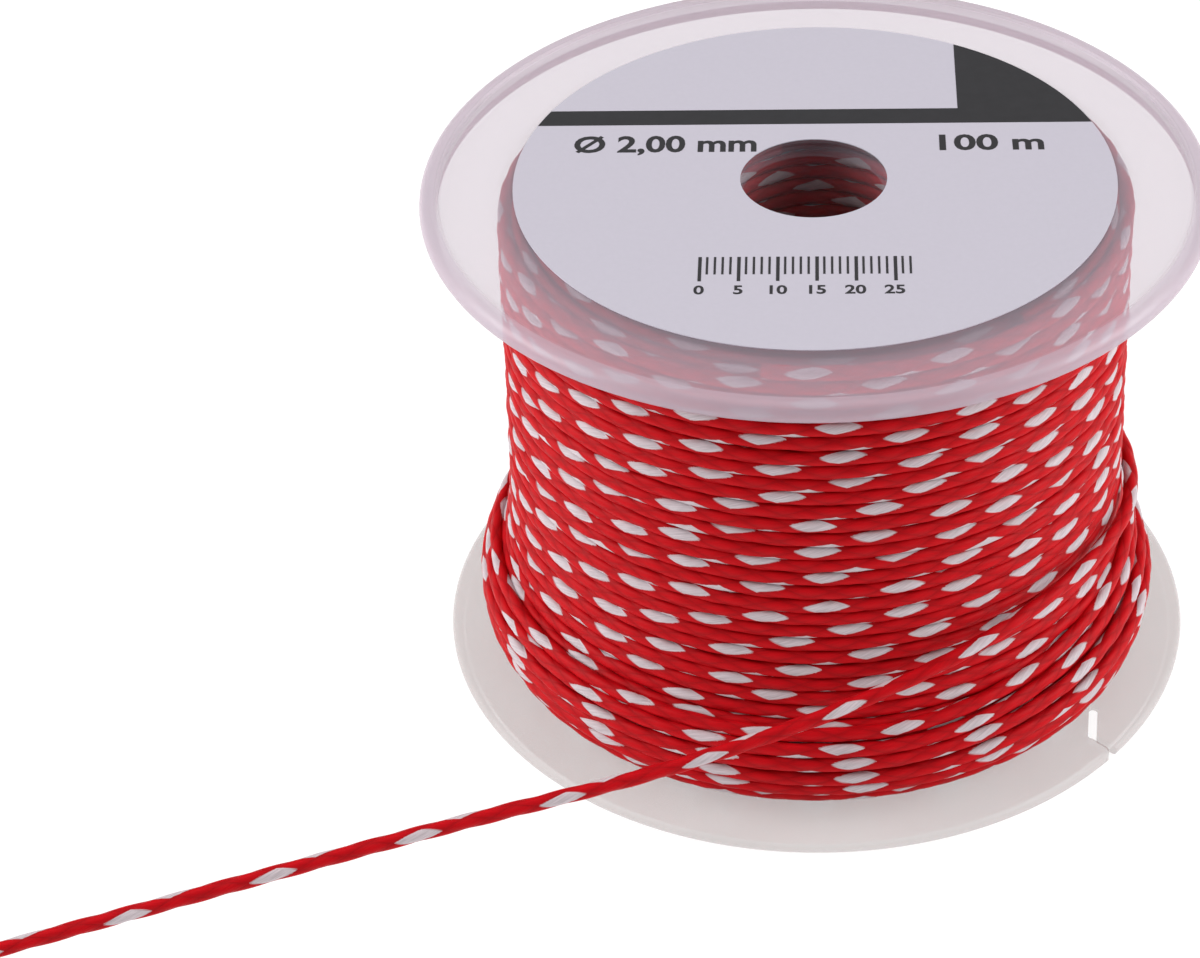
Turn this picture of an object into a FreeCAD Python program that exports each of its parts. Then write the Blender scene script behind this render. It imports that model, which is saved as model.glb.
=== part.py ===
"""Reel of braided builder's line: two flanges on a hub tube, a paper face label, the wound line and its free end.

Millimetres, +Z up along the hub bore. The origin is the centre of the face that the reel stands on.
"""

import FreeCAD, Part
import math
import os
from FreeCAD import Vector

# Reel
FLANGE_D = 105.0
REEL_H = 73.5
BORE_D = 19.0

# Flange section: a flat web with a rounded rim, which is a thicker bead on the upper flange
WEB_T = 1.3
BEAD_T = 3.0
BEAD_W = 2.4
BEAD_FLAT = 0.7
FACE_RECESS = 0.3
BORE_EASE = 0.25

# Locating ring under each web, which the hub tube is welded over
RING_WALL = 0.9
RING_DEPTH = 1.1
HUB_WALL = 1.3
HUB_FIT = 0.05

# Paper face label
LABEL_D = 80.0
LABEL_T = 0.12

# Dog-leg slot in the lower rim, which grips the end of the line: depths below the flange edge, and angles from +X
SLOT_END_DEPTH = 7.1
SLOT_END_ANGLE = -31.6
SLOT_BEND_DEPTH = 4.0
SLOT_BEND_ANGLE = -38.2
SLOT_EXIT_ANGLE = -38.6
SLOT_WIDTH = 1.2
SLOT_THROAT = 0.9
SLOT_LOBE_R = 1.3

# Line
LINE_D = 2.0
WINDING_FIT = 0.05

# Outer profile of the wound line: share of the height between the webs, depth below the flange edge
WINDING_PROFILE = [
    (0.00, 8.4),
    (0.04, 5.6),
    (0.09, 4.8),
    (0.14, 5.0),
    (0.22, 6.8),
    (0.32, 8.8),
    (0.45, 9.6),
    (1.00, 10.2),
]

# Route of the free line: round the wound line from the back, off it at the front, and away to the left
LINE_ROUTE = [
    Vector(22.7, 39.3, 33.6),
    Vector(35.8, 28.0, 33.3),
    Vector(43.8, 12.6, 32.7),
    Vector(45.3, -4.7, 31.7),
    Vector(40.1, -21.3, 30.3),
    Vector(29.9, -34.4, 28.4),
    Vector(20.2, -41.3, 26.2),
    Vector(11.2, -45.2, 23.7),
    Vector(2.0, -47.6, 20.6),
    Vector(-8.0, -49.9, 17.8),
    Vector(-22.9, -53.5, 14.6),
    Vector(-50.3, -60.9, 11.9),
    Vector(-78.6, -69.3, 8.7),
    Vector(-111.5, -80.3, 6.2),
]

# Stopper knot at the end of the line: way along it and radius, in line diameters, and the tail past it
KNOT_SECTION = [(0.0, 0.55), (0.6, 1.15), (1.5, 1.4), (2.4, 1.15), (3.0, 0.55)]
KNOT_TAIL = 3.5

# Worked out from the sizes above
FLANGE_R = FLANGE_D / 2
BORE_R = BORE_D / 2
RING_R = BORE_R + RING_WALL
HUB_BORE_R = RING_R + HUB_FIT
HUB_R = HUB_BORE_R + HUB_WALL
WEB_INNER = FACE_RECESS + WEB_T
LINE_R = LINE_D / 2
SLOT_OVERCUT = 0.5
ARC_SHARE = 0.45


def polar(radius, angle_deg, z=0.0):
    """Point at a radius and an angle about the reel's axis, from +X towards +Y."""
    angle = math.radians(angle_deg)
    return Vector(radius * math.cos(angle), radius * math.sin(angle), z)


def turned(edges, axis=Vector(0, 0, 1), base=Vector(0, 0, 0)):
    """Solid made by turning a closed outline about an axis."""
    return Part.Face(Part.Wire(edges)).revolve(base, axis, 360)


def outline(points):
    """Straight edges through the points and back to the first."""
    closed = points + points[:1]
    return [Part.makeLine(a, b) for a, b in zip(closed[:-1], closed[1:])]


def flange_blank(rim_t):
    """Flange with its outer face down: web, rim of a thickness, and locating ring round the bore on the inner side."""
    rim_r = rim_t / 2
    rim_centre = FLANGE_R - rim_r
    rim_foot = rim_centre - BEAD_FLAT
    outer = Vector(rim_centre, 0, 0)
    rim = Vector(FLANGE_R, 0, rim_r)
    inner = Vector(rim_centre, 0, rim_t)
    step = [Vector(rim_foot, 0, rim_t), Vector(FLANGE_R - BEAD_W, 0, WEB_INNER)] if rim_t > WEB_INNER else []
    down = step + [
        Vector(RING_R, 0, WEB_INNER),
        Vector(RING_R, 0, WEB_INNER + RING_DEPTH),
        Vector(BORE_R, 0, WEB_INNER + RING_DEPTH),
        Vector(BORE_R, 0, FACE_RECESS + BORE_EASE),
        Vector(BORE_R + BORE_EASE, 0, FACE_RECESS),
        Vector(rim_foot - FACE_RECESS, 0, FACE_RECESS),
        Vector(rim_foot, 0, 0),
    ]
    corners = [inner] + down + [outer]
    edges = [Part.Arc(outer, rim, inner).toShape()]
    edges += [Part.makeLine(a, b) for a, b in zip(corners[:-1], corners[1:])]
    return turned(edges)


def bar_between(start, end, width, height):
    """Upright bar of a width, from one point to another on the floor."""
    run = end - start
    bar = Part.makeBox(run.Length, width, height, Vector(0, -width / 2, 0))
    bar.rotate(Vector(0, 0, 0), Vector(0, 0, 1), math.degrees(math.atan2(run.y, run.x)))
    bar.translate(start)
    return bar


def slot_cutter():
    """Dog-leg slot: a wide inner leg with round ends, and a narrow outer leg that opens past a round lobe."""
    height = BEAD_T + 2 * SLOT_OVERCUT
    end = polar(FLANGE_R - SLOT_END_DEPTH, SLOT_END_ANGLE)
    bend = polar(FLANGE_R - SLOT_BEND_DEPTH, SLOT_BEND_ANGLE)
    exit_point = polar(FLANGE_R, SLOT_EXIT_ANGLE)
    inner_leg = bar_between(end, bend, SLOT_WIDTH, height)
    rounds = [Part.makeCylinder(SLOT_WIDTH / 2, height, point) for point in (end, bend)]
    way_out = exit_point - bend
    past_rim = exit_point + way_out
    outer_leg = bar_between(bend, past_rim, SLOT_THROAT, height)

    # the mouth widens on one side, round the lobe
    reach = 2 * way_out.Length
    lobe_at = way_out.Length - SLOT_LOBE_R
    side = -SLOT_THROAT / 2 - SLOT_LOBE_R
    mouth = Part.makeBox(reach - lobe_at, SLOT_LOBE_R, height, Vector(lobe_at, side, 0))
    mouth = mouth.cut(Part.makeCylinder(SLOT_LOBE_R, height, Vector(lobe_at, side, 0)))
    mouth.rotate(Vector(0, 0, 0), Vector(0, 0, 1), math.degrees(math.atan2(way_out.y, way_out.x)))
    mouth.translate(bend)
    cutter = inner_leg.fuse(rounds + [outer_leg, mouth])
    cutter.translate(Vector(0, 0, -SLOT_OVERCUT))
    return cutter


def lower_flange():
    """The flange that the reel stands on, flat on its inner side, with the line slot."""
    return flange_blank(WEB_INNER).cut(slot_cutter())


def upper_flange():
    """Flange with the rim bead and no slot, upside down at the top of the reel."""
    flange = flange_blank(BEAD_T)
    flange.rotate(Vector(0, 0, 0), Vector(1, 0, 0), 180)
    flange.translate(Vector(0, 0, REEL_H))
    return flange


def hub_tube():
    """Thin tube between the webs, over both locating rings."""
    base = Vector(0, 0, WEB_INNER)
    height = REEL_H - 2 * WEB_INNER
    return Part.makeCylinder(HUB_R, height, base).cut(Part.makeCylinder(HUB_BORE_R, height, base))


def face_label():
    """Paper ring stuck on the upper face, with its hole on the bore."""
    base = Vector(0, 0, REEL_H - FACE_RECESS)
    hole_r = BORE_R + BORE_EASE
    return Part.makeCylinder(LABEL_D / 2, LABEL_T, base).cut(Part.makeCylinder(hole_r, LABEL_T, base))


def line_winding():
    """Outer shape of the wound line, from web to web round the hub tube."""
    height = REEL_H - 2 * WEB_INNER
    points = [Vector(FLANGE_R - depth, 0, WEB_INNER + share * height) for share, depth in WINDING_PROFILE]
    inner_r = HUB_R + WINDING_FIT
    points += [Vector(inner_r, 0, REEL_H - WEB_INNER), Vector(inner_r, 0, WEB_INNER)]
    return turned(outline(points))


def line_path(points):
    """Straight runs joined by tangent arcs, and the radius of each arc."""
    edges = []
    radii = []
    start = points[0]
    for before, corner, after in zip(points[:-2], points[1:-1], points[2:]):
        into = corner - before
        out = after - corner
        tangent = ARC_SHARE * min(into.Length, out.Length)
        half_turn = into.getAngle(out) / 2
        radius = tangent / math.tan(half_turn)
        radii.append(radius)
        into.normalize()
        out.normalize()
        arc_start = corner - into * tangent
        arc_end = corner + out * tangent
        inward = out - into
        inward.normalize()
        arc_middle = corner + inward * radius * (1 / math.cos(half_turn) - 1)
        edges.append(Part.LineSegment(start, arc_start).toShape())
        edges.append(Part.Arc(arc_start, arc_middle, arc_end).toShape())
        start = arc_end
    edges.append(Part.LineSegment(start, points[-1]).toShape())
    return Part.Wire(edges), radii


def running_line():
    """Free end of the line, as a plain round tube along its route."""
    path, radii = line_path(LINE_ROUTE)
    direction = LINE_ROUTE[1] - LINE_ROUTE[0]
    section = Part.Wire(Part.makeCircle(LINE_R, LINE_ROUTE[0], direction))
    tube = path.makePipeShell([section], True, False)
    expected = math.pi * LINE_R ** 2 * path.Length
    print("line arc radii:", " ".join(f"{radius:.0f}" for radius in radii))
    print(f"line length {path.Length:.1f}, volume {tube.Volume:.1f}, section times length {expected:.1f}")
    return tube


def end_knot():
    """Stopper knot, turned about the line's last run, with the line's short tail past it."""
    point = LINE_ROUTE[-1]
    along = point - LINE_ROUTE[-2]
    along.normalize()
    across = along.cross(Vector(0, 0, 1))
    across.normalize()
    knot_end = KNOT_SECTION[-1][0]
    tail_end = knot_end + KNOT_TAIL
    section = [(0.0, 0.0)] + KNOT_SECTION + [(knot_end, 0.5), (tail_end, 0.5), (tail_end, 0.0)]
    points = [point + along * step * LINE_D + across * radius * LINE_D for step, radius in section]
    return turned(outline(points), along, point)


PIECES = {
    "lower_flange": lower_flange,
    "upper_flange": upper_flange,
    "hub_tube": hub_tube,
    "face_label": face_label,
    "line_winding": line_winding,
    "running_line": running_line,
    "end_knot": end_knot,
}


def build():
    """Write one STEP file for each piece."""
    os.makedirs("parts", exist_ok=True)
    for name, make in PIECES.items():
        shape = make()
        solids = shape.Solids
        if len(solids) != 1 or not shape.isValid():
            raise ValueError(f"{name} is not one valid solid")
        solids[0].exportStep(f"parts/{name}.step")
        print(f"{name}: volume {solids[0].Volume:.0f}")


build()
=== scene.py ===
import bmesh
import bpy
import math
from bpy.props import FloatProperty, FloatVectorProperty, IntProperty, PointerProperty
from mathutils import Matrix, Vector


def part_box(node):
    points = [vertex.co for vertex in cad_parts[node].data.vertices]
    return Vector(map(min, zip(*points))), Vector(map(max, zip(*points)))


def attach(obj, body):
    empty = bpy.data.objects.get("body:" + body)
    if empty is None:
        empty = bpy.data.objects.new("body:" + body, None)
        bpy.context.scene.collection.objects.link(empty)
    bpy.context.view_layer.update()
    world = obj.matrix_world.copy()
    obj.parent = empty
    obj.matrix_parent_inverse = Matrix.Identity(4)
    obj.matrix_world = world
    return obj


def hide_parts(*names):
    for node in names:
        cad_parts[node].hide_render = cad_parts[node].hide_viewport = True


bl_info = {
    "name": "Builder's line reel",
    "version": (1, 0, 0),
    "blender": (4, 5, 0),
    "location": "View3D > Sidebar > Line Reel",
    "description": "Dresses a reel of braided line: moulded flanges, paper label, wound line and its free end",
    "category": "Object",
}

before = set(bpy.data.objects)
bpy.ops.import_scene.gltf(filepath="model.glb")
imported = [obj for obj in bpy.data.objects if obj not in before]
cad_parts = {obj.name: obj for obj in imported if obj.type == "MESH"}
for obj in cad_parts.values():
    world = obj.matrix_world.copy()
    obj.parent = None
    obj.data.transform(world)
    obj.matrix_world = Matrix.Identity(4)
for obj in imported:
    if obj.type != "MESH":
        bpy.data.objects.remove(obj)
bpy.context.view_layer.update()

MM = 0.001
TURN = 2 * math.pi

# Stage: gap under the reel's foot, where the lights aim, and each light's place, size and power
FLOOR_DROP = 0.2 * MM
LIGHT_AIM = Vector((0, 0, 0.03))
LIGHTS = {
    "left": ((-0.75, -0.05, 0.42), 0.6, 6.2),
    "right": ((0.75, -0.05, 0.42), 0.6, 6.0),
    "top": ((0.0, 0.15, 0.95), 0.7, 1.6),
}

# Printing on the label, in millimetres about the bore: band and block, and the corner and reach of the scale
INK_T = 0.02 * MM
PRINT_INSET = 0.05
BAND_FOOT = 13.7
BAND_HEAD = 17.5
BLOCK_SIDE = 19.6
SCALE_CORNER = (-14.8, -19.0)
SCALE_LENGTH = 27
SCALE_DROP = 5.6

# Scale marks: numbered marks are longer and wider, and each number stands centred under its mark
NUMBER_EVERY = 5
SHORT_SHARE = 0.72
LONG_MARK_W = 0.45
SHORT_MARK_W = 0.3
NUMBER_HEIGHT = 1.9
NUMBER_DROP = 2.9
NUMBER_HALF_WIDTHS = (0.7, 1.5)

# Lettering: height of a figure as a share of the font's size, and how much bolder than the font, in heights
FIGURE_SHARE = 0.7
BOLDER = 0.035

# Wound line: points on the outline and on one turn, turns in which the end dips, and the slip of its flecks
OUTLINE_POINTS = 200
TURN_POINTS = 120
DIP_TURNS = 0.12
FLECK_SLIP = 9 * MM

# Barrel knot, in line diameters: thickness of its tightened line, way along and aside of its core, and radius and way
# along of the wraps round it
KNOT_LINE = 0.95
KNOT_CORE = ((0, 0), (1.5, 0), (3.2, 0), (4.6, 0), (5.6, 0.25), (6.4, 0.6))
WRAP_STEPS = 72
WRAP_TURNS = 2.6
WRAP_TUCK = 6
WRAP_RADIUS = (0.25, 0.65)
WRAP_WAY = (0.5, 2.1)

# Route of the free line, in metres: out from under the turns at the back, round the wound line, off it at the front
# and away to the left
LINE_ROUTE = [
    Vector((0.0170, 0.0395, 0.0250)),
    Vector((0.0300, 0.0333, 0.0252)),
    Vector((0.0393, 0.0203, 0.0253)),
    Vector((0.0440, 0.0050, 0.0259)),
    Vector((0.0439, -0.0105, 0.0271)),
    Vector((0.0384, -0.0234, 0.0284)),
    Vector((0.0297, -0.0342, 0.0281)),
    Vector((0.0202, -0.0413, 0.0262)),
    Vector((0.0112, -0.0452, 0.0237)),
    Vector((0.0020, -0.0476, 0.0206)),
    Vector((-0.0080, -0.0499, 0.0178)),
    Vector((-0.0229, -0.0535, 0.0146)),
    Vector((-0.0503, -0.0609, 0.0119)),
    Vector((-0.0786, -0.0693, 0.0087)),
    Vector((-0.1115, -0.0803, 0.0062)),
]

# Profiles of the wound line: share of its height, and depth below the flange edge
CROWN_PROFILE = [
    (0.00, 0.0084),
    (0.04, 0.0056),
    (0.09, 0.0048),
    (0.14, 0.0050),
    (0.22, 0.0072),
    (0.32, 0.0082),
    (0.45, 0.0084),
    (1.00, 0.0086),
]
LEVEL_PROFILE = [
    (0.00, 0.0098),
    (0.04, 0.0076),
    (0.09, 0.0067),
    (0.14, 0.0069),
    (0.22, 0.0084),
    (0.32, 0.0095),
    (0.45, 0.0098),
    (1.00, 0.0102),
]


def linear(hex_colour):
    """Linear RGB of an sRGB hex colour."""
    channels = [int(hex_colour[i : i + 2], 16) / 255 for i in (1, 3, 5)]
    return [c / 12.92 if c <= 0.04045 else ((c + 0.055) / 1.055) ** 2.4 for c in channels]


def add(tree, kind, inputs=(), **settings):
    """Node of a kind, with its settings, and its inputs set or linked by name or number."""
    node = tree.nodes.new(kind)
    for name, value in settings.items():
        setattr(node, name, value)
    for key, value in dict(inputs).items():
        socket = node.inputs[key]
        if isinstance(value, bpy.types.NodeSocket):
            tree.links.new(value, socket)
        else:
            socket.default_value = value
    return node


def math_node(tree, operation, *values):
    """Result of one arithmetic step in a node tree."""
    return add(tree, "ShaderNodeMath", enumerate(values), operation=operation).outputs[0]


def ramp(tree, value, start, end, low=0.0, high=1.0, kind="LINEAR"):
    """Value carried from the span start to end over to the span low to high, and held at its ends."""
    spans = {"Value": value, "From Min": start, "From Max": end, "To Min": low, "To Max": high}
    return add(tree, "ShaderNodeMapRange", spans, interpolation_type=kind).outputs[0]


def mixed(tree, factor, *ends):
    """Blend of two colours, each an RGB value or a node's output."""
    first, second = [end if isinstance(end, bpy.types.NodeSocket) else (*end, 1) for end in ends]
    colours = {"Factor": factor, "A": first, "B": second}
    return add(tree, "ShaderNodeMix", colours, data_type="RGBA").outputs["Result"]


def dimmed(colour, share):
    """A share of a colour's light."""
    return [channel * share for channel in colour]


def stored(tree, geometry, name, value, data_type="FLOAT_VECTOR"):
    """Node that keeps a value on a geometry as a named attribute."""
    kept = {"Geometry": geometry.outputs[0], "Name": name, "Value": value}
    return add(tree, "GeometryNodeStoreNamedAttribute", kept, data_type=data_type)


def colour_property(label, text, hex_colour):
    """Colour setting of the panel."""
    return FloatVectorProperty(
        name=label, description=text, subtype="COLOR", size=3, min=0, max=1, default=linear(hex_colour)
    )


def size_property(label, text, metres):
    """Size setting of the panel, in metres."""
    return FloatProperty(name=label, description=text, default=metres, min=0, precision=5, unit="LENGTH")


def angle_property(label, text, degrees):
    """Angle setting of the panel, from degrees."""
    return FloatProperty(name=label, description=text, default=math.radians(degrees), unit="ROTATION")


class ReelSizes(bpy.types.PropertyGroup):
    line_diameter: size_property("Line diameter", "Thickness of the free line", 2.0 * MM)
    turn_width: size_property("Turn width", "Width of the line where it is wound and pressed flat", 2.15 * MM)
    turn_thickness: size_property("Turn thickness", "Thickness of the wound line", 1.9 * MM)
    braid_pitch: size_property("Braid pitch", "Length in which one yarn goes once round the line", 18.5 * MM)
    taut_pitch: size_property("Taut braid pitch", "The same length where the line is pulled tight", 19.4 * MM)
    fleck_length: size_property("Fleck length", "Length of one float of the pale yarn", 6.2 * MM)
    fleck_width: size_property("Fleck width", "Width of one float of the pale yarn, round the line", 2.1 * MM)
    relief: size_property("Braid relief", "Height of the yarns above the hollows between them", 0.15 * MM)
    layers: IntProperty(name="Layers", description="Layers of wound line on the hub", default=18, min=2)


class ReelColours(bpy.types.PropertyGroup):
    yarn: colour_property("Yarn", "Red film yarn of the braid", "#C80A16")
    # painted shade: this darker red stands for shade in the hollows between the yarns, and also gives the darker
    # fibre streaks
    hollow: colour_property("Hollows", "Red between the yarns", "#86080F")
    tracer: colour_property("Tracer", "Pale yarn that shows as flecks", "#E9DBE0")
    plastic: colour_property("Reel plastic", "Milky polypropylene of flanges and hub", "#C2B9B7")
    # painted light: this tint stands in for red light scattered up through the upper flange's milky plastic from the
    # winding beneath
    haze: colour_property("Reel haze", "The same plastic where it lies over the wound line", "#CDBECB")
    paper: colour_property("Label paper", "Coated paper of the face label", "#C9C4D0")
    ink: colour_property("Label ink", "Printing on the face label", "#2E2D30")
    floor: colour_property("Floor", "Plain pale floor, as it is without its own glow", "#8A8A8A")


class StageSettings(bpy.types.PropertyGroup):
    lens: FloatProperty(name="Lens", description="Focal length in millimetres", default=105.0, min=1)
    camera_back: size_property("Camera back", "Camera's distance in front of the reel's axis", 0.3957)
    camera_height: size_property("Camera height", "Camera's height above the floor", 0.3213)
    tilt: angle_property("Tilt", "Camera's tilt below level", 36.9)
    turn: angle_property("Turn", "Camera's turn to the left", 4.38)
    roll: angle_property("Roll", "Camera's roll", -2.74)


def polyline(name, paths):
    """Object of plain edges through each path's points."""
    mesh = bpy.data.meshes.new(name)
    points = [point for path in paths for point in path]
    edges = []
    first = 0
    for path in paths:
        edges += [(i, i + 1) for i in range(first, first + len(path) - 1)]
        first += len(path)
    mesh.from_pydata(points, edges, [])
    made = bpy.data.objects.new(name, mesh)
    bpy.context.scene.collection.objects.link(made)
    return made


def baked(made, name, tree, inputs):
    """Plain mesh object from a node tree run on an object's own mesh, which it replaces."""
    modifier = made.modifiers.new("Rule", "NODES")
    modifier.node_group = tree
    sockets = {item.name: item.identifier for item in tree.interface.items_tree if item.in_out == "INPUT"}
    for label, value in inputs.items():
        modifier[sockets[label]] = value
    graph = bpy.context.evaluated_depsgraph_get()
    mesh = bpy.data.meshes.new_from_object(made.evaluated_get(graph), depsgraph=graph)
    mesh.name = name
    bpy.data.objects.remove(made)
    result = bpy.data.objects.new(name, mesh)
    bpy.context.scene.collection.objects.link(result)
    return result


def interface(tree, inputs):
    """Group input node of a tree with a geometry and the named inputs, and its geometry output."""
    tree.interface.new_socket("Geometry", in_out="INPUT", socket_type="NodeSocketGeometry")
    for label, kind in inputs.items():
        tree.interface.new_socket(label, in_out="INPUT", socket_type=kind)
    tree.interface.new_socket("Geometry", in_out="OUTPUT", socket_type="NodeSocketGeometry")
    return tree.nodes.new("NodeGroupInput").outputs


def braid_cells(tree, along, around):
    """Where a point lies in the braid, from the way along in pitches and the way round in turns.

    Six yarns, three each way round, one over and one under: a float of one yarn fills each square of the
    chessboard on (u, v). Yarns of the first hand run along u and show where u + v is even.
    """
    a = math_node(tree, "MULTIPLY", along, 6)
    b = math_node(tree, "MULTIPLY", around, 6)
    u = math_node(tree, "MULTIPLY", math_node(tree, "ADD", a, b), 0.5)
    v = math_node(tree, "MULTIPLY", math_node(tree, "SUBTRACT", a, b), 0.5)
    return a, b, u, v


def float_height(tree, u, v):
    """Height of the floats, from 0 in the hollows between them to 1 on their crowns."""
    sides = []
    for way in (u, v):
        wave = math_node(tree, "COSINE", math_node(tree, "MULTIPLY", way, math.pi))
        sides.append(math_node(tree, "ABSOLUTE", wave))
    return math_node(tree, "POWER", math_node(tree, "MULTIPLY", *sides), 0.5)


def tube_rule():
    """Node group that lays a braided tube on a curve that has its way along as the attribute "along".

    It keeps, as the attribute "braid", the way along in pitches and the cosine and sine of the way round.
    """
    tree = bpy.data.node_groups.new("Braided tube", "GeometryNodeTree")
    given = interface(
        tree,
        {
            "Width": "NodeSocketFloat",
            "Thickness": "NodeSocketFloat",
            "Sides": "NodeSocketInt",
            "Step": "NodeSocketFloat",
            "Pitch": "NodeSocketFloat",
            "Relief": "NodeSocketFloat",
            "Lay": "NodeSocketFloat",
            "Roll": "NodeSocketFloat",
            "Material": "NodeSocketMaterial",
        },
    )
    spaced = {"Curve": given["Geometry"], "Length": given["Step"]}
    rail = add(tree, "GeometryNodeResampleCurve", spaced, mode="LENGTH")
    rail = add(tree, "GeometryNodeSetCurveNormal", {"Curve": rail.outputs[0]}, mode="Z_UP")
    position = add(tree, "GeometryNodeInputPosition").outputs[0]
    rail = stored(tree, rail, "centre", position)
    ring = add(tree, "GeometryNodeCurvePrimitiveCircle", {"Resolution": given["Sides"], "Radius": 1.0})
    ring = stored(tree, ring, "round", position)
    size = add(
        tree,
        "ShaderNodeCombineXYZ",
        {
            0: math_node(tree, "MULTIPLY", given["Thickness"], 0.5),
            1: math_node(tree, "MULTIPLY", given["Width"], 0.5),
            2: 1.0,
        },
    )
    ring = add(tree, "GeometryNodeTransform", {"Geometry": ring.outputs[0], "Scale": size.outputs[0]})
    tube = add(
        tree,
        "GeometryNodeCurveToMesh",
        {"Curve": rail.outputs[0], "Profile Curve": ring.outputs[0], "Fill Caps": True},
    )
    along = add(tree, "GeometryNodeInputNamedAttribute", {"Name": "along"}, data_type="FLOAT").outputs[0]
    centre = add(tree, "GeometryNodeInputNamedAttribute", {"Name": "centre"}, data_type="FLOAT_VECTOR").outputs[0]
    way = add(tree, "GeometryNodeInputNamedAttribute", {"Name": "round"}, data_type="FLOAT_VECTOR").outputs[0]
    way = add(tree, "ShaderNodeSeparateXYZ", {0: way}).outputs

    # the braid turns slowly about the line, this way and that
    pitches = math_node(tree, "DIVIDE", along, given["Pitch"])
    slow = add(
        tree,
        "ShaderNodeTexNoise",
        {"W": pitches, "Scale": 0.3, "Detail": 1.0},
        noise_dimensions="1D",
    )
    roll = math_node(tree, "MULTIPLY", math_node(tree, "SUBTRACT", slow.outputs["Fac"], 0.5), given["Roll"])
    angle = math_node(tree, "DIVIDE", math_node(tree, "ARCTAN2", way[1], way[0]), -TURN)
    angle = math_node(tree, "ADD", math_node(tree, "ADD", angle, given["Lay"]), roll)
    full = math_node(tree, "MULTIPLY", angle, TURN)
    braid = add(
        tree,
        "ShaderNodeCombineXYZ",
        {0: pitches, 1: math_node(tree, "COSINE", full), 2: math_node(tree, "SINE", full)},
    )
    _, _, u, v = braid_cells(tree, pitches, angle)
    height = float_height(tree, u, v)
    lift = math_node(tree, "MULTIPLY", math_node(tree, "SUBTRACT", height, 0.7), given["Relief"])
    outward = add(tree, "ShaderNodeVectorMath", {0: position, 1: centre}, operation="SUBTRACT")
    outward = add(tree, "ShaderNodeVectorMath", {0: outward.outputs[0]}, operation="NORMALIZE")
    offset = add(tree, "ShaderNodeVectorMath", {0: outward.outputs[0], "Scale": lift}, operation="SCALE")
    tube = stored(tree, tube, "braid", braid.outputs[0])
    tube = add(tree, "GeometryNodeSetPosition", {"Geometry": tube.outputs[0], "Offset": offset.outputs[0]})
    for spent in ("along", "centre", "round"):
        tube = add(tree, "GeometryNodeRemoveAttribute", {"Geometry": tube.outputs[0], "Name": spent})
    tube = add(tree, "GeometryNodeSetShadeSmooth", {"Geometry": tube.outputs[0]})
    tube = add(tree, "GeometryNodeRealizeInstances", {"Geometry": tube.outputs[0]})
    tube = add(tree, "GeometryNodeSetMaterial", {"Geometry": tube.outputs[0], "Material": given["Material"]})
    add(tree, "NodeGroupOutput", {"Geometry": tube.outputs[0]})
    return tree


def laid_on(tree, tube, rail, given, labels):
    """Braided tube laid on a rail with the tree's own settings, as the tree's result."""
    laid = tree.nodes.new("GeometryNodeGroup")
    laid.node_tree = tube
    tree.links.new(rail.outputs[0], laid.inputs["Geometry"])
    for label in labels:
        tree.links.new(given[label], laid.inputs[label])
    add(tree, "NodeGroupOutput", {"Geometry": laid.outputs[0]})


def tube_settings(tube):
    """Names and kinds of a tube rule's settings."""
    inputs = [item for item in tube.interface.items_tree if item.in_out == "INPUT"]
    return {item.name: item.socket_type for item in inputs if item.name != "Geometry"}


def free_rule(tube):
    """Node tree that lays a braided tube along an object's own edges."""
    tree = bpy.data.node_groups.new("Free line", "GeometryNodeTree")
    labels = tube_settings(tube)
    given = interface(tree, {**labels, "Start": "NodeSocketFloat"})
    rail = add(tree, "GeometryNodeMeshToCurve", {"Mesh": given["Geometry"]})
    length = add(tree, "GeometryNodeSplineParameter").outputs["Length"]
    rail = stored(tree, rail, "along", math_node(tree, "ADD", length, given["Start"]), "FLOAT")
    laid_on(tree, tube, rail, given, labels)
    return tree


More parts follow.
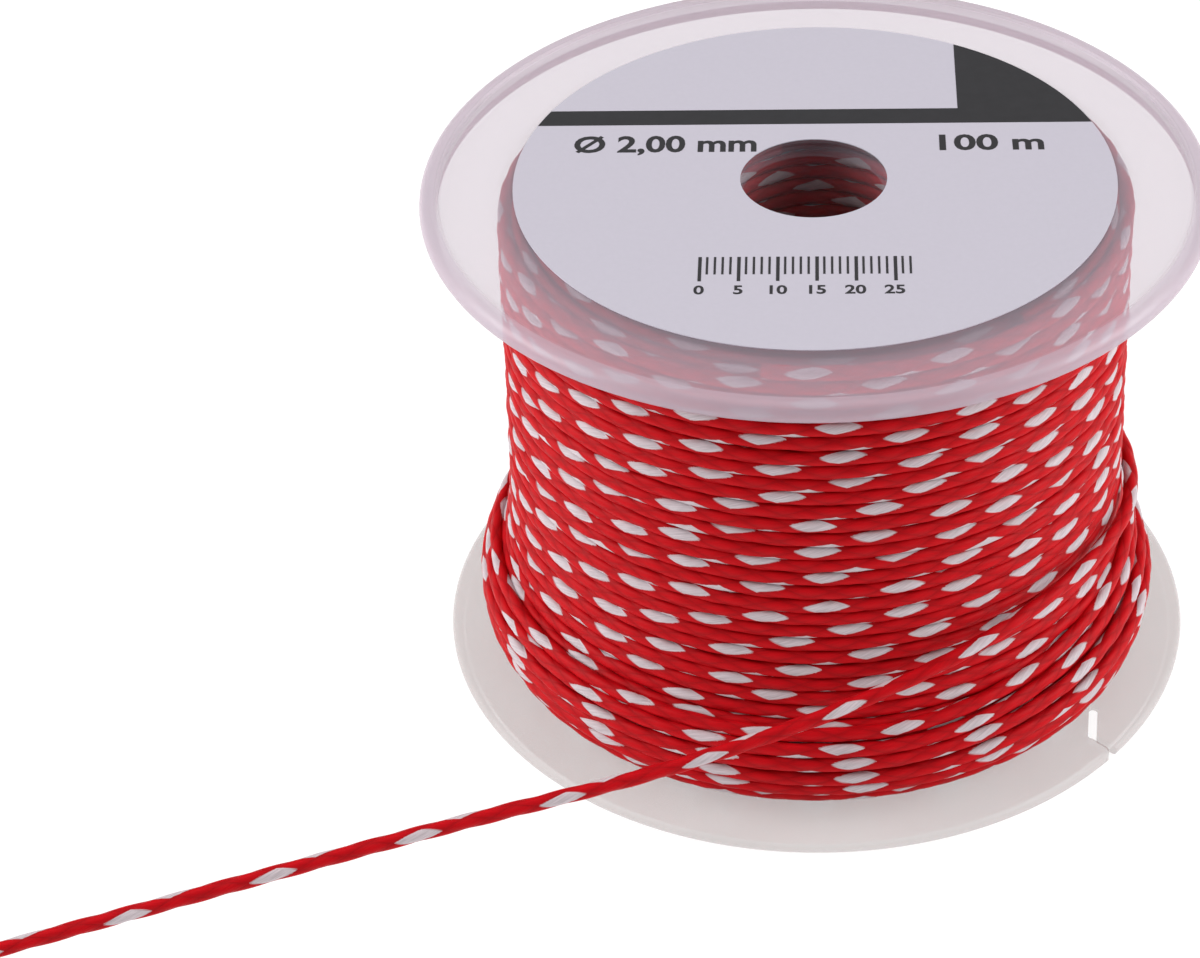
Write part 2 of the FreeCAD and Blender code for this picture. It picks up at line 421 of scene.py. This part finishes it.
def wound_rule(tube):
    """Node tree that winds a braided tube round the reel's axis, up the outline that is the object's own edges."""
    tree = bpy.data.node_groups.new("Wound layer", "GeometryNodeTree")
    labels = tube_settings(tube)
    extra = (
        "Start", "From", "To", "Total", "Phase", "Waver", "Rock", "Seed", "Even Radius", "Knee Radius",
        "Hump", "Hump At", "Dip",
    )
    given = interface(tree, {**labels, **dict.fromkeys(extra, "NodeSocketFloat")})
    outline = add(tree, "GeometryNodeMeshToCurve", {"Mesh": given["Geometry"]})
    outline = add(tree, "GeometryNodeCurveSplineType", {"Curve": outline.outputs[0]}, spline_type="CATMULL_ROM")
    evened = {"Curve": outline.outputs[0], "Count": OUTLINE_POINTS}
    outline = add(tree, "GeometryNodeResampleCurve", evened, mode="COUNT")
    climb = add(tree, "GeometryNodeCurveLength", {"Curve": outline.outputs[0]}).outputs[0]
    all_turns = math_node(tree, "MULTIPLY", math_node(tree, "DIVIDE", climb, given["Width"]), given["Total"])
    count = math_node(tree, "MULTIPLY_ADD", all_turns, TURN_POINTS, 1)
    line = add(tree, "GeometryNodeMeshLine", {"Count": count, "Offset": (0, 0, 0)})
    index = add(tree, "GeometryNodeInputIndex").outputs[0]
    turn = math_node(tree, "DIVIDE", index, TURN_POINTS)
    level = math_node(tree, "DIVIDE", turn, all_turns)
    angle = math_node(tree, "MULTIPLY", math_node(tree, "ADD", turn, given["Phase"]), -TURN)

    # unsteady hand: sideways, outwards and in the lay of the braid
    unsteady = add(
        tree,
        "ShaderNodeTexNoise",
        {"W": math_node(tree, "ADD", turn, given["Seed"]), "Scale": 1.7, "Detail": 1.5},
        noise_dimensions="1D",
    )
    shaky = add(tree, "ShaderNodeSeparateXYZ", {0: unsteady.outputs["Color"]}).outputs
    sideways = math_node(tree, "MULTIPLY", math_node(tree, "SUBTRACT", shaky[0], 0.5), given["Waver"])
    outwards = math_node(tree, "MULTIPLY", math_node(tree, "SUBTRACT", shaky[1], 0.5), given["Rock"])

    # turns rise over the others on one side, more so towards the top of the layer
    side = math_node(tree, "COSINE", math_node(tree, "SUBTRACT", angle, given["Hump At"]))
    side = math_node(tree, "POWER", math_node(tree, "MAXIMUM", side, 0), 1.5)
    rise = math_node(tree, "MULTIPLY", math_node(tree, "MULTIPLY", side, level), given["Hump"])
    way_up = math_node(tree, "MULTIPLY_ADD", turn, given["Width"], math_node(tree, "ADD", sideways, rise))
    place = add(tree, "GeometryNodeSampleCurve", {"Curves": outline.outputs[0], "Length": way_up}, mode="LENGTH")
    place = add(tree, "ShaderNodeSeparateXYZ", {0: place.outputs["Position"]}).outputs

    # the last bit of the layer dips under the turns below it
    last = math_node(tree, "SUBTRACT", all_turns, turn)
    dip = ramp(tree, last, 0.0, DIP_TURNS, given["Dip"], 0.0, "SMOOTHSTEP")
    radius = math_node(tree, "SUBTRACT", math_node(tree, "ADD", place[0], outwards), dip)
    point = add(
        tree,
        "ShaderNodeCombineXYZ",
        {
            0: math_node(tree, "MULTIPLY", radius, math_node(tree, "COSINE", angle)),
            1: math_node(tree, "MULTIPLY", radius, math_node(tree, "SINE", angle)),
            2: place[2],
        },
    )

    # way along the line, counted at one even radius where the layer is level
    even = math_node(tree, "MAXIMUM", math_node(tree, "SUBTRACT", place[0], given["Knee Radius"]), 0)
    step = math_node(tree, "MULTIPLY", math_node(tree, "ADD", even, given["Even Radius"]), TURN / TURN_POINTS)
    travelled = add(tree, "GeometryNodeAccumulateField", {"Value": step}, data_type="FLOAT", domain="POINT")
    slow = add(
        tree,
        "ShaderNodeTexNoise",
        {"W": math_node(tree, "ADD", turn, given["Seed"]), "Scale": 0.31, "Detail": 1.0},
        noise_dimensions="1D",
    )
    slip = math_node(tree, "MULTIPLY", math_node(tree, "SUBTRACT", slow.outputs["Fac"], 0.5), FLECK_SLIP)
    along = math_node(tree, "ADD", math_node(tree, "ADD", travelled.outputs["Trailing"], slip), given["Start"])
    line = stored(tree, line, "along", along, "FLOAT")
    line = add(tree, "GeometryNodeSetPosition", {"Geometry": line.outputs[0], "Position": point.outputs[0]})
    before = math_node(tree, "LESS_THAN", level, given["From"])
    after = math_node(tree, "GREATER_THAN", level, given["To"])
    line = add(
        tree,
        "GeometryNodeDeleteGeometry",
        {"Geometry": line.outputs[0], "Selection": math_node(tree, "ADD", before, after)},
        domain="POINT",
    )
    rail = add(tree, "GeometryNodeMeshToCurve", {"Mesh": line.outputs[0]})
    laid_on(tree, tube, rail, given, labels)
    return tree


def shader(name, slot_colour):
    """New material and its tree, with one Principled shader and its plain colour for the viewport."""
    material = bpy.data.materials.new(name)
    material.use_nodes = True
    material.diffuse_color = (*slot_colour, 1)
    tree = material.node_tree
    tree.nodes.clear()
    surface = tree.nodes.new("ShaderNodeBsdfPrincipled")
    add(tree, "ShaderNodeOutputMaterial", {"Surface": surface.outputs[0]})
    return material, tree, surface


def braided_polypropylene(sizes, colours):
    """Braided polypropylene: six flat yarns of fine glossy fibres, one of them pale, so it glints and flecks."""
    material, tree, surface = shader("braided_polypropylene", colours.yarn)
    braid = add(tree, "ShaderNodeAttribute", attribute_name="braid")
    parts = add(tree, "ShaderNodeSeparateXYZ", {0: braid.outputs["Vector"]}).outputs
    angle = math_node(tree, "DIVIDE", math_node(tree, "ARCTAN2", parts[2], parts[1]), TURN)
    a, b, u, v = braid_cells(tree, parts[0], angle)
    height = float_height(tree, u, v)

    # film fibres: streaks that run along each yarn
    cell = math_node(tree, "ADD", math_node(tree, "ROUND", u), math_node(tree, "ROUND", v))
    other_hand = math_node(tree, "FLOORED_MODULO", cell, 2)
    swap = math_node(tree, "MULTIPLY", b, other_hand)
    fibre_at = add(
        tree,
        "ShaderNodeCombineXYZ",
        {
            0: math_node(tree, "MULTIPLY", math_node(tree, "ADD", v, swap), 13),
            1: math_node(tree, "MULTIPLY", math_node(tree, "SUBTRACT", u, swap), 1.1),
            2: math_node(tree, "MULTIPLY", cell, 3.7),
        },
    )
    fibres = {"Vector": fibre_at.outputs[0], "Scale": 1.0, "Detail": 3.0}
    streak = add(tree, "ShaderNodeTexNoise", fibres).outputs["Fac"]

    # floats of the pale yarn: three in each pitch, a third of the way round from one to the next
    step = math_node(tree, "MULTIPLY", math_node(tree, "ROUND", math_node(tree, "MULTIPLY", a, 0.5)), 2)
    lengthwise = math_node(tree, "SUBTRACT", a, step)
    across = math_node(tree, "WRAP", math_node(tree, "SUBTRACT", b, step), 3, -3)
    lengthwise = math_node(tree, "MULTIPLY_ADD", across, -0.2, lengthwise)
    half_length = sizes.fleck_length / (sizes.braid_pitch / 3)
    half_width = sizes.fleck_width / (math.pi * sizes.line_diameter / 3)
    reach = math_node(tree, "DIVIDE", math_node(tree, "ABSOLUTE", lengthwise), half_length)
    spread = math_node(tree, "DIVIDE", math_node(tree, "ABSOLUTE", across), half_width)
    spread = math_node(tree, "POWER", spread, 1.35)
    inside = math_node(tree, "SUBTRACT", math_node(tree, "SUBTRACT", 0.85, reach), spread)
    inside = math_node(tree, "MULTIPLY_ADD", streak, 0.3, inside)
    fleck = ramp(tree, inside, -0.05, 0.13, kind="SMOOTHSTEP")

    # painted shade: the red darkens in the hollows between the floats, as the float height drops, and also along the
    # darker fibre streaks
    shade = math_node(tree, "MULTIPLY_ADD", streak, 0.6, math_node(tree, "MULTIPLY_ADD", height, 0.55, 0.1))
    red = mixed(tree, shade, colours.hollow, colours.yarn)
    pale = mixed(tree, streak, dimmed(colours.tracer, 0.45), colours.tracer)
    colour = mixed(tree, fleck, red, pale)
    rise = math_node(tree, "MULTIPLY_ADD", streak, 0.3, height)
    bump = add(tree, "ShaderNodeBump", {"Height": rise, "Distance": 0.12 * MM, "Strength": 0.5})
    tree.links.new(colour, surface.inputs["Base Color"])
    tree.links.new(bump.outputs[0], surface.inputs["Normal"])
    tree.links.new(ramp(tree, fleck, 0.0, 1.0, 0.5, 0.33), surface.inputs["Roughness"])
    surface.inputs["IOR"].default_value = 1.49
    surface.inputs["Specular IOR Level"].default_value = 0.1
    return material


def milky_polypropylene(colours):
    """Natural polypropylene, moulded: milky and see-through up close, satin, with faint flow marks."""
    material, tree, surface = shader("milky_polypropylene", colours.plastic)
    at = add(tree, "ShaderNodeTexCoord").outputs["Object"]
    cloud = add(tree, "ShaderNodeTexNoise", {"Vector": at, "Scale": 45.0, "Detail": 2.0})
    colour = mixed(tree, cloud.outputs["Fac"], dimmed(colours.plastic, 0.9), colours.plastic)

    # painted light: the upper flange, over the dark red winding, is tinted lighter, pinker and cooler than the lower
    # flange over a pale floor, standing in for light scattered up through the milky plastic from the winding
    place = add(tree, "ShaderNodeSeparateXYZ", {0: at}).outputs
    upper = ramp(tree, place[2], 60.0 * MM, 71.0 * MM)
    colour = mixed(tree, upper, colour, colours.haze)
    grain = add(tree, "ShaderNodeTexNoise", {"Vector": at, "Scale": 900.0, "Detail": 2.0})
    bump = add(tree, "ShaderNodeBump", {"Height": grain.outputs["Fac"], "Distance": 0.02 * MM, "Strength": 0.4})
    tree.links.new(colour, surface.inputs["Base Color"])
    tree.links.new(bump.outputs[0], surface.inputs["Normal"])
    surface.inputs["Roughness"].default_value = 0.36
    surface.inputs["IOR"].default_value = 1.49
    surface.inputs["Transmission Weight"].default_value = 0.18

    # less shows through the thick rim bead where it stands over the line, and more through the thin hub tube
    flat = add(tree, "ShaderNodeVectorMath", {0: at, 1: (1, 1, 0)}, operation="MULTIPLY").outputs[0]
    radius = add(tree, "ShaderNodeVectorMath", {0: flat}, operation="LENGTH").outputs["Value"]
    bead = ramp(tree, radius, 49.6 * MM, 50.6 * MM, 0.0, 0.32)
    web = ramp(tree, radius, 12.0 * MM, 14.0 * MM, 0.12, 0.36)
    cover = math_node(tree, "ADD", math_node(tree, "MULTIPLY", bead, upper), web)
    tree.links.new(cover, surface.inputs["Alpha"])
    return material


def coated_paper(colours):
    """Coated label paper: cool white, nearly matt, with a fine fibre tooth."""
    material, tree, surface = shader("coated_label_paper", colours.paper)
    at = add(tree, "ShaderNodeTexCoord").outputs["Object"]
    fibre = add(tree, "ShaderNodeTexNoise", {"Vector": at, "Scale": 1400.0, "Detail": 3.0})
    colour = mixed(tree, fibre.outputs["Fac"], dimmed(colours.paper, 0.95), colours.paper)
    bump = add(tree, "ShaderNodeBump", {"Height": fibre.outputs["Fac"], "Distance": 0.01 * MM, "Strength": 0.3})
    tree.links.new(colour, surface.inputs["Base Color"])
    tree.links.new(bump.outputs[0], surface.inputs["Normal"])
    surface.inputs["Roughness"].default_value = 0.5
    return material


def printing_ink(colours):
    """Offset printing ink: a near-black film on the paper, slightly uneven and a little glossier than the paper."""
    material, tree, surface = shader("printing_ink", colours.ink)
    at = add(tree, "ShaderNodeTexCoord").outputs["Object"]
    patch = add(tree, "ShaderNodeTexNoise", {"Vector": at, "Scale": 700.0, "Detail": 2.0})
    colour = mixed(tree, patch.outputs["Fac"], dimmed(colours.ink, 0.8), dimmed(colours.ink, 1.15))
    tree.links.new(colour, surface.inputs["Base Color"])
    surface.inputs["Roughness"].default_value = 0.45
    return material


class REEL_OT_stage(bpy.types.Operator):
    """Pale floor, soft lights and the camera"""

    bl_idname = "reel.stage"
    bl_label = "Stage"

    def execute(self, context):
        settings = context.scene.reel_stage
        colours = context.scene.reel_colours
        camera = bpy.data.objects.new("camera", bpy.data.cameras.new("camera"))
        camera.data.lens = settings.lens
        camera.data.clip_start = 0.01
        camera.data.clip_end = 20
        look = Matrix.Rotation(settings.turn, 4, "Z") @ Matrix.Rotation(math.pi / 2 - settings.tilt, 4, "X")
        look = look @ Matrix.Rotation(settings.roll, 4, "Z")
        camera.matrix_world = Matrix.Translation((0, -settings.camera_back, settings.camera_height)) @ look
        context.scene.collection.objects.link(camera)
        context.scene.camera = camera

        mesh = bpy.data.meshes.new("floor")
        shape = bmesh.new()
        bmesh.ops.create_circle(shape, cap_ends=True, radius=3.0, segments=64)
        shape.to_mesh(mesh)
        shape.free()
        floor = bpy.data.objects.new("floor", mesh)
        floor.location.z = -FLOOR_DROP
        context.scene.collection.objects.link(floor)
        material, _, surface = shader("pale_floor", colours.floor)
        surface.inputs["Base Color"].default_value = (*colours.floor, 1)
        surface.inputs["Roughness"].default_value = 0.9
        surface.inputs["Emission Color"].default_value = (1, 1, 1, 1)
        surface.inputs["Emission Strength"].default_value = 0.84
        mesh.materials.append(material)

        for name, (place, size, power) in LIGHTS.items():
            light = bpy.data.objects.new(name, bpy.data.lights.new(name, "AREA"))
            light.data.size = size
            light.data.energy = power
            light.location = place
            light.rotation_euler = (LIGHT_AIM - Vector(place)).to_track_quat("-Z", "Y").to_euler()
            context.scene.collection.objects.link(light)
        world = bpy.data.worlds.new("soft_room")
        world.use_nodes = True
        world.node_tree.nodes["Background"].inputs["Color"].default_value = (1, 1, 1, 1)
        world.node_tree.nodes["Background"].inputs["Strength"].default_value = 0.27
        context.scene.world = world
        context.scene.view_settings.view_transform = "Standard"
        return {"FINISHED"}


def route_points(name, points):
    """Points of a smooth line through the route's own control points."""
    curve = bpy.data.curves.new(name, "CURVE")
    curve.dimensions = "3D"
    curve.resolution_u = 24
    spline = curve.splines.new("NURBS")
    spline.points.add(len(points) - 1)
    for point, place in zip(spline.points, points):
        point.co = (*place, 1)
    spline.order_u = 3
    spline.use_endpoint_u = True
    made = bpy.data.objects.new(name, curve)
    bpy.context.scene.collection.objects.link(made)
    graph = bpy.context.evaluated_depsgraph_get()
    mesh = bpy.data.meshes.new_from_object(made.evaluated_get(graph), depsgraph=graph)
    places = [vertex.co.copy() for vertex in mesh.vertices]
    bpy.data.meshes.remove(mesh)
    bpy.data.objects.remove(made)
    bpy.data.curves.remove(curve)
    return places


def knot_paths(start, along, diameter):
    """Core with its tail, and the wraps round it, of a barrel knot that starts at a point of the line."""
    side = along.cross(Vector((0, 0, 1))).normalized()
    up = side.cross(along)
    core = [start + along * diameter * way + side * diameter * aside for way, aside in KNOT_CORE]
    wraps = []
    for i in range(WRAP_STEPS + 1):
        share = i / WRAP_STEPS
        tuck = min(1.0, WRAP_TUCK * share, WRAP_TUCK * (1 - share))
        radius = diameter * (WRAP_RADIUS[0] + WRAP_RADIUS[1] * tuck)
        turn = TURN * WRAP_TURNS * share
        way = diameter * (WRAP_WAY[0] + WRAP_WAY[1] * share)
        wraps.append(start + along * way + side * radius * math.cos(turn) + up * radius * math.sin(turn))
    return [core, wraps]


class REEL_OT_free_line(bpy.types.Operator):
    """Free end of the line and the stopper knot on it"""

    bl_idname = "reel.free_line"
    bl_label = "Free line"

    def execute(self, context):
        sizes = context.scene.reel_sizes
        material = braided_polypropylene(sizes, context.scene.reel_colours)
        tube = tube_rule()
        rule = free_rule(tube)
        path = route_points("free_line_route", LINE_ROUTE)
        settings = {
            "Width": sizes.line_diameter,
            "Thickness": sizes.line_diameter,
            "Sides": 16,
            "Step": 0.5 * MM,
            "Start": 0.004,
            "Pitch": sizes.taut_pitch,
            "Relief": sizes.relief,
            "Lay": -0.11,
            "Roll": 0.15,
            "Material": material,
        }
        line = baked(polyline("free_line_edges", [path]), "free_line", rule, settings)
        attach(line, "line_end")
        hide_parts("running_line")
        along = (path[-1] - path[-2]).normalized()
        pulled = sizes.line_diameter * KNOT_LINE
        knot_settings = {**settings, "Width": pulled, "Thickness": pulled}
        paths = knot_paths(path[-1], along, sizes.line_diameter)
        knot = baked(polyline("stopper_knot_edges", paths), "stopper_knot", rule, knot_settings)
        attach(knot, "line_end")
        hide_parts("end_knot")
        return {"FINISHED"}


class REEL_OT_winding(bpy.types.Operator):
    """Wound line: its outer turns in full, and every layer under them"""

    bl_idname = "reel.winding"
    bl_label = "Winding"

    def execute(self, context):
        sizes = context.scene.reel_sizes
        material = bpy.data.materials["braided_polypropylene"]
        rule = wound_rule(bpy.data.node_groups["Braided tube"])
        low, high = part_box("line_winding")
        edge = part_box("lower_flange")[1][0]
        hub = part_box("hub_tube")[1][0]
        half = sizes.turn_thickness / 2
        margin = sizes.turn_width / 2
        floor = low[2] + margin
        climb = high[2] - low[2] - 2 * margin
        plain = {"Width": sizes.turn_width, "Pitch": sizes.braid_pitch, "Material": material}

        def outline(profile, share=1.0):
            """Edge points of one layer, from 0 on the hub to 1 at the outside."""
            inner = hub + half
            points = []
            for level, depth in profile:
                outer = edge - depth - half
                points.append(Vector((inner + (outer - inner) * share, 0, floor + climb * level)))
            return points

        def wind(name, points, **settings):
            """Piece of wound line up an outline."""
            made = baked(polyline(name + "_edges", [points]), name, rule, {**plain, **settings})
            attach(made, "reel")
            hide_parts("line_winding")

        fine = {
            "Sides": 12,
            "Step": 0.7 * MM,
            "Relief": sizes.relief,
            "Thickness": sizes.turn_thickness,
            "Lay": -0.05,
            "Roll": 0.35,
            "Even Radius": 42.57 * MM,
            "Knee Radius": 42.2 * MM,
        }
        outside = outline(LEVEL_PROFILE)
        level = {**fine, "Waver": 0.8 * MM, "Rock": 0.5 * MM, "Seed": 3.0, "Total": 1.0}
        wind("outer_turns_lower", outside, From=0.0, To=0.45, **level)
        wind("outer_turns_upper", outside, From=0.449, To=1.0, **level)
        wind(
            "crossing_turns",
            outline(CROWN_PROFILE),
            Total=0.222,
            From=0.0,
            To=1.0,
            Waver=1.6 * MM,
            Rock=0.9 * MM,
            Seed=50.0,
            Hump=6.5 * MM,
            Dip=2.2 * MM,
            Phase=0.83,
            Start=0.0066,
            **{**fine, "Hump At": math.radians(10)},
        )
        spacing = (outside[-1].x - hub - half) / (sizes.layers - 1)
        coarse = {
            "Sides": 6,
            "Step": 3.0 * MM,
            "Thickness": spacing,
            "Waver": 0.3 * MM,
            "From": 0.0,
            "To": 1.0,
            "Total": 1.0,
        }
        for layer in range(sizes.layers - 1):
            share = layer / (sizes.layers - 1)
            points = outline(LEVEL_PROFILE, share)
            coarse["Even Radius"] = points[-1].x
            coarse["Knee Radius"] = points[-1].x
            apart = {"Start": layer * 7.3, "Seed": layer * 10.0, "Phase": layer * 0.37}
            wind(f"layer_{layer + 1:02d}", points, **apart, **coarse)
        return {"FINISHED"}


class REEL_OT_mouldings(bpy.types.Operator):
    """Finish of both flanges and the hub tube"""

    bl_idname = "reel.mouldings"
    bl_label = "Mouldings"

    def execute(self, context):
        material = milky_polypropylene(context.scene.reel_colours)
        for name in ("lower_flange", "upper_flange", "hub_tube"):
            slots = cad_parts[name].data.materials
            slots.clear()
            slots.append(material)
        return {"FINISHED"}


def printed(name, outline):
    """Thin closed plate of ink with the outline, a list of points in millimetres about the bore."""
    shape = bmesh.new()
    face = shape.faces.new([shape.verts.new((x * MM, y * MM, 0)) for x, y in outline])
    made = bmesh.ops.extrude_face_region(shape, geom=[face])
    raised = [part for part in made["geom"] if isinstance(part, bmesh.types.BMVert)]
    bmesh.ops.translate(shape, vec=(0, 0, INK_T), verts=raised)
    bmesh.ops.recalc_face_normals(shape, faces=shape.faces)
    mesh = bpy.data.meshes.new(name)
    shape.to_mesh(mesh)
    shape.free()
    return mesh


def figures(text, height, place, stretch=1.0):
    """Mesh of generic figures of a height, standing at a place, both in millimetres."""
    curve = bpy.data.curves.new("figures", "FONT")
    curve.body = text
    curve.size = height / FIGURE_SHARE * MM
    curve.offset = BOLDER * height * MM
    curve.extrude = INK_T / 2
    curve.resolution_u = 4
    made = bpy.data.objects.new("figures", curve)
    bpy.context.scene.collection.objects.link(made)
    graph = bpy.context.evaluated_depsgraph_get()
    mesh = bpy.data.meshes.new_from_object(made.evaluated_get(graph), depsgraph=graph)
    bpy.data.objects.remove(made)
    mesh.transform(Matrix.Diagonal((stretch, 1, 1, 1)))
    mesh.transform(Matrix.Translation((place[0] * MM, place[1] * MM, INK_T / 2)))
    return mesh


def arc(radius, start, end, steps=48):
    """Points of an arc about the bore, from one angle to another in radians."""
    angles = [start + (end - start) * i / steps for i in range(steps + 1)]
    return [(radius * math.cos(angle), radius * math.sin(angle)) for angle in angles]


class REEL_OT_label(bpy.types.Operator):
    """Paper face label and its printing: a band with a corner block, size figures and a millimetre scale"""

    bl_idname = "reel.label"
    bl_label = "Label"

    def execute(self, context):
        colours = context.scene.reel_colours
        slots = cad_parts["face_label"].data.materials
        slots.clear()
        slots.append(coated_paper(colours))
        _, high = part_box("face_label")
        edge = high[0] / MM - PRINT_INSET
        foot, head, side = BAND_FOOT, BAND_HEAD, BLOCK_SIDE
        band = arc(edge, math.pi - math.asin(foot / edge), math.pi - math.asin(head / edge), 6)
        band += [(side, head)]
        band += arc(edge, math.acos(side / edge), math.asin(foot / edge))
        parts = [printed("band", band)]
        left, top = SCALE_CORNER
        for i in range(SCALE_LENGTH + 1):
            numbered = i % NUMBER_EVERY == 0
            foot = top - (SCALE_DROP if numbered else SCALE_DROP * SHORT_SHARE)
            width = LONG_MARK_W if numbered else SHORT_MARK_W
            x = left + i
            parts.append(printed("tick", [(x, foot), (x + width, foot), (x + width, top), (x, top)]))
            if numbered:
                number = str(i)
                number_left = x + width / 2 - NUMBER_HALF_WIDTHS[len(number) - 1]
                parts.append(figures(number, NUMBER_HEIGHT, (number_left, foot - NUMBER_DROP)))
        parts.append(figures("\u00d8 2,00 mm", 4.0, (-32.4, 6.8), 0.94))
        parts.append(figures("100 m", 3.8, (15.8, 6.8), 1.1))
        shape = bmesh.new()
        for part in parts:
            shape.from_mesh(part)
        bmesh.ops.remove_doubles(shape, verts=shape.verts, dist=0.001 * MM)
        mesh = bpy.data.meshes.new("label_print")
        shape.to_mesh(mesh)
        shape.free()
        mesh.transform(Matrix.Translation((0, 0, high[2])))
        mesh.materials.append(printing_ink(colours))
        for polygon in mesh.polygons:
            polygon.material_index = 0
            polygon.use_smooth = False
        made = bpy.data.objects.new("label_print", mesh)
        context.scene.collection.objects.link(made)
        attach(made, "reel")
        return {"FINISHED"}


class REEL_PT_panel(bpy.types.Panel):
    bl_label = "Line Reel"
    bl_idname = "REEL_PT_panel"
    bl_space_type = "VIEW_3D"
    bl_region_type = "UI"
    bl_category = "Line Reel"

    def draw(self, context):
        scene = context.scene
        for settings in (scene.reel_sizes, scene.reel_colours, scene.reel_stage):
            box = self.layout.box()
            for name in settings.__annotations__:
                box.prop(settings, name)
        for operator in OPERATORS:
            self.layout.operator(operator.bl_idname)


OPERATORS = (REEL_OT_stage, REEL_OT_free_line, REEL_OT_winding, REEL_OT_mouldings, REEL_OT_label)
CLASSES = (ReelSizes, ReelColours, StageSettings, *OPERATORS, REEL_PT_panel)


def register():
    for cls in CLASSES:
        bpy.utils.register_class(cls)
    bpy.types.Scene.reel_sizes = PointerProperty(type=ReelSizes)
    bpy.types.Scene.reel_colours = PointerProperty(type=ReelColours)
    bpy.types.Scene.reel_stage = PointerProperty(type=StageSettings)


def unregister():
    for name in ("reel_sizes", "reel_colours", "reel_stage"):
        delattr(bpy.types.Scene, name)
    for cls in reversed(CLASSES):
        bpy.utils.unregister_class(cls)


def main():
    register()
    bpy.ops.reel.stage()
    bpy.ops.reel.free_line()
    bpy.ops.reel.winding()
    bpy.ops.reel.mouldings()
    bpy.ops.reel.label()


if __name__ == "__main__":
    main()
